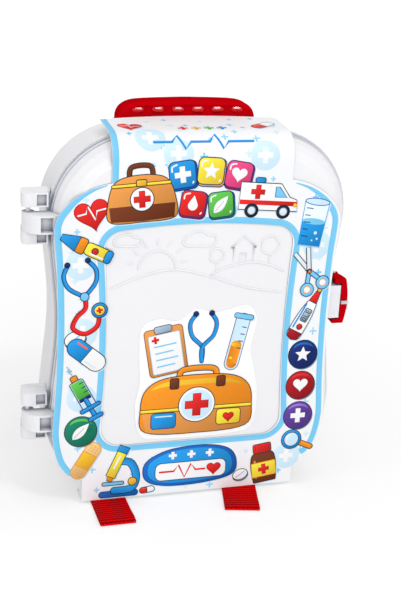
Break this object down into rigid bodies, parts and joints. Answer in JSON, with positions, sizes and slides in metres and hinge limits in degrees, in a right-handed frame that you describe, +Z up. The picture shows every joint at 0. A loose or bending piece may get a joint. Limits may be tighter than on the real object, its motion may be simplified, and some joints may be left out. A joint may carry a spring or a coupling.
{
  "type": "toy medical backpack",
  "caption": "Toy doctor's backpack case: white hinged plastic shell, red handle, side clasp, webbing straps and printed card sleeve.",
  "frame": {"origin": "middle of the case's width, on the floor, at the parting plane between lid and rear shell", "axes": "+X to the viewer's right as the case stands, +Y from the front to the back, +Z up"},
  "size_m": [0.2359, 0.1143, 0.2772],
  "materials": {
    "case_plastic": "satin frosted",
    "red_plastic": "semi-gloss",
    "red_webbing": "woven webbing",
    "slider_plastic": "satin",
    "pin_plastic": "satin",
    "clear_plastic": "clear",
    "printed_card": "printed card, semi-gloss varnish",
    "printed_sticker": "printed sticker"
  },
  "bodies": {
    "rear_case": {"rear_shell": "case_plastic", "hinge_pin_lower": "pin_plastic", "hinge_pin_upper": "pin_plastic", "latch_pin": "pin_plastic", "carry_handle": "red_plastic", "strap_left": "red_webbing", "strap_right": "red_webbing", "strap_slider_left": "slider_plastic", "strap_slider_right": "slider_plastic"},
    "lid_half": {"lid": "case_plastic", "face_sticker": "printed_sticker"},
    "sleeve": {"card_sleeve": "printed_card"},
    "clasp": {"latch_clasp": "red_plastic", "latch_tie": "clear_plastic"}
  },
  "joints": [
    {"name": "lid_swing", "type": "hinge", "parent": "rear_case", "child": "lid_half", "pos_m": [-0.118, 0, 0.1355], "axis": [0, 0, -1], "range_deg": [0, 165]},
    {"name": "sleeve_pull", "type": "slide", "parent": "lid_half", "child": "sleeve", "axis": [0, -1, 0], "range_m": [0, 0.06]},
    {"name": "clasp_swing", "type": "hinge", "parent": "rear_case", "child": "clasp", "pos_m": [0.1065, 0.009, 0.13875], "axis": [0, 0, 1], "range_deg": [0, 100]}
  ]
}
